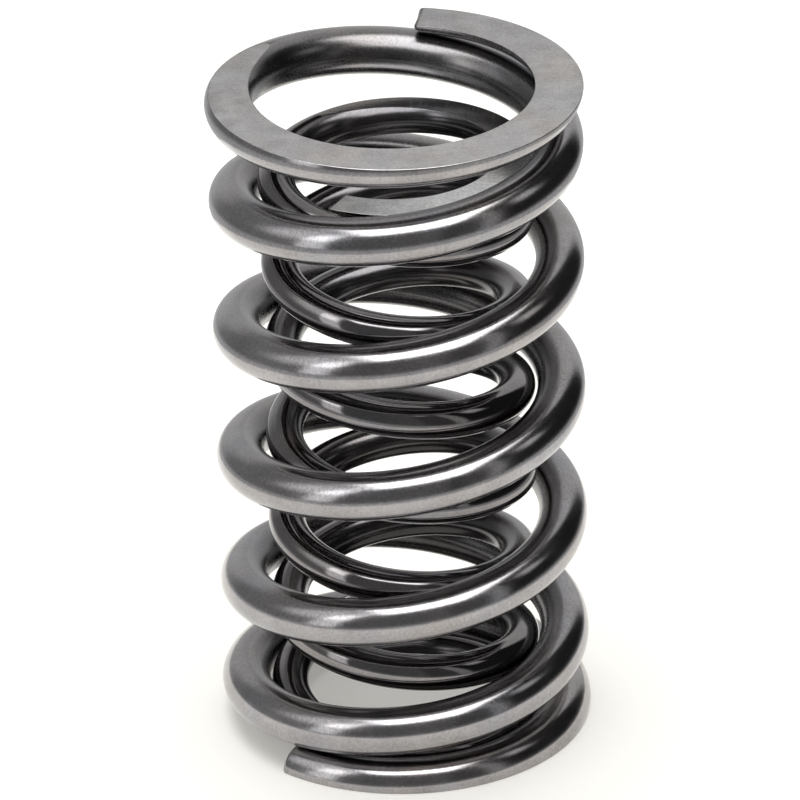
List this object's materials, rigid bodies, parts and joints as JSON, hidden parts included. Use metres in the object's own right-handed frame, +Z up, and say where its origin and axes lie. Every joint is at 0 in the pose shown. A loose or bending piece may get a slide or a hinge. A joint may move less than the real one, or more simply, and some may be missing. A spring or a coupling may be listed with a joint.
{
  "type": "dual engine valve spring",
  "caption": "Nested pair of steel compression springs, a left-hand inner one inside a right-hand outer one, with closed and ground ends.",
  "frame": {"origin": "on the coil axis, in the plane of the lower ground ends that the springs stand on", "axes": "+Z up along the coil axis; +X to the right and -Y towards the viewer in the picture"},
  "size_m": [0.0375, 0.0374, 0.0697],
  "materials": {
    "outer_spring": "polished dark spring steel, ends ground matt",
    "inner_spring": "polished dark spring steel, ends ground matt"
  },
  "bodies": {
    "root": {"outer_spring": "outer_spring", "inner_spring": "inner_spring"}
  },
  "joints": []
}
